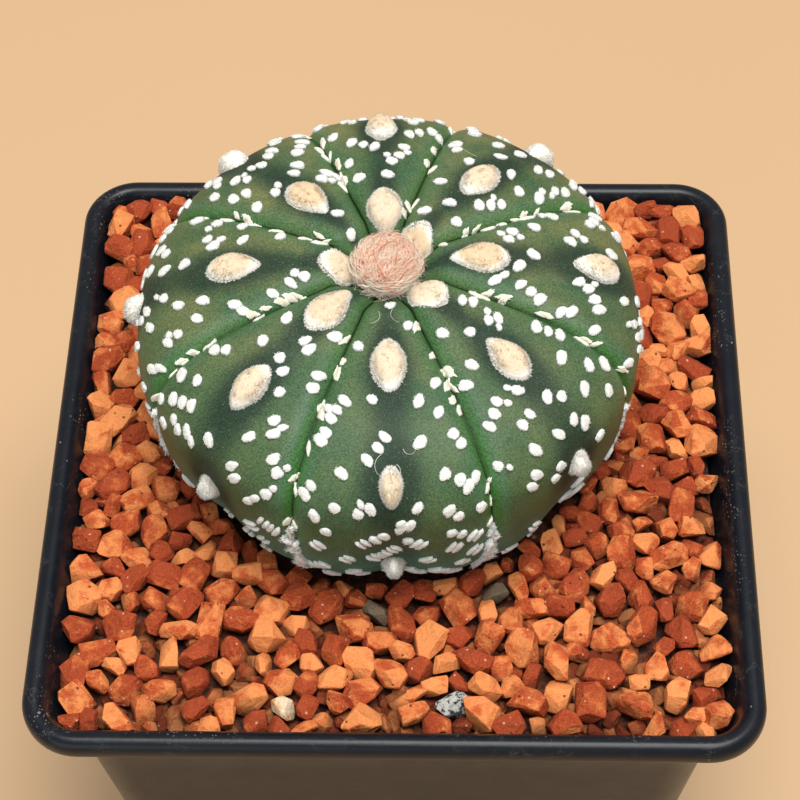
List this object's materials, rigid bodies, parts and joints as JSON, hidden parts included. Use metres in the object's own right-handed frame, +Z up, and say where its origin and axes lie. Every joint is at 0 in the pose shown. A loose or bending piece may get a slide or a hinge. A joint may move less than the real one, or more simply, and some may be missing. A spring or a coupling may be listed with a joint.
{
  "type": "potted star cactus",
  "caption": "Squat ribbed star cactus with woolly areoles, white felt flecks and a crown bud, set in stone chips in a tapered square plastic pot.",
  "frame": {"origin": "under the middle of the pot, on the surface that it stands on", "axes": "+Z up, -Y towards the front of the pot, +X to the right seen from the front"},
  "size_m": [0.09, 0.09, 0.109],
  "materials": {
    "pot_plastic": "satin moulded black plastic with dust and fine scratches",
    "growing_mix": "dark crumbly growing mix",
    "stone_chips": "dry broken stone, orange to brick red",
    "plant_skin": "satin green skin with a pale bloom",
    "plant_wool": "dry white to cream wool and felt",
    "bud_wool": "salmon wool with red-brown hairs"
  },
  "bodies": {
    "root": {"pot": "pot_plastic", "potting_mix": "growing_mix", "gravel": "stone_chips", "cactus": "plant_skin", "crown_bud": "bud_wool"}
  },
  "joints": []
}
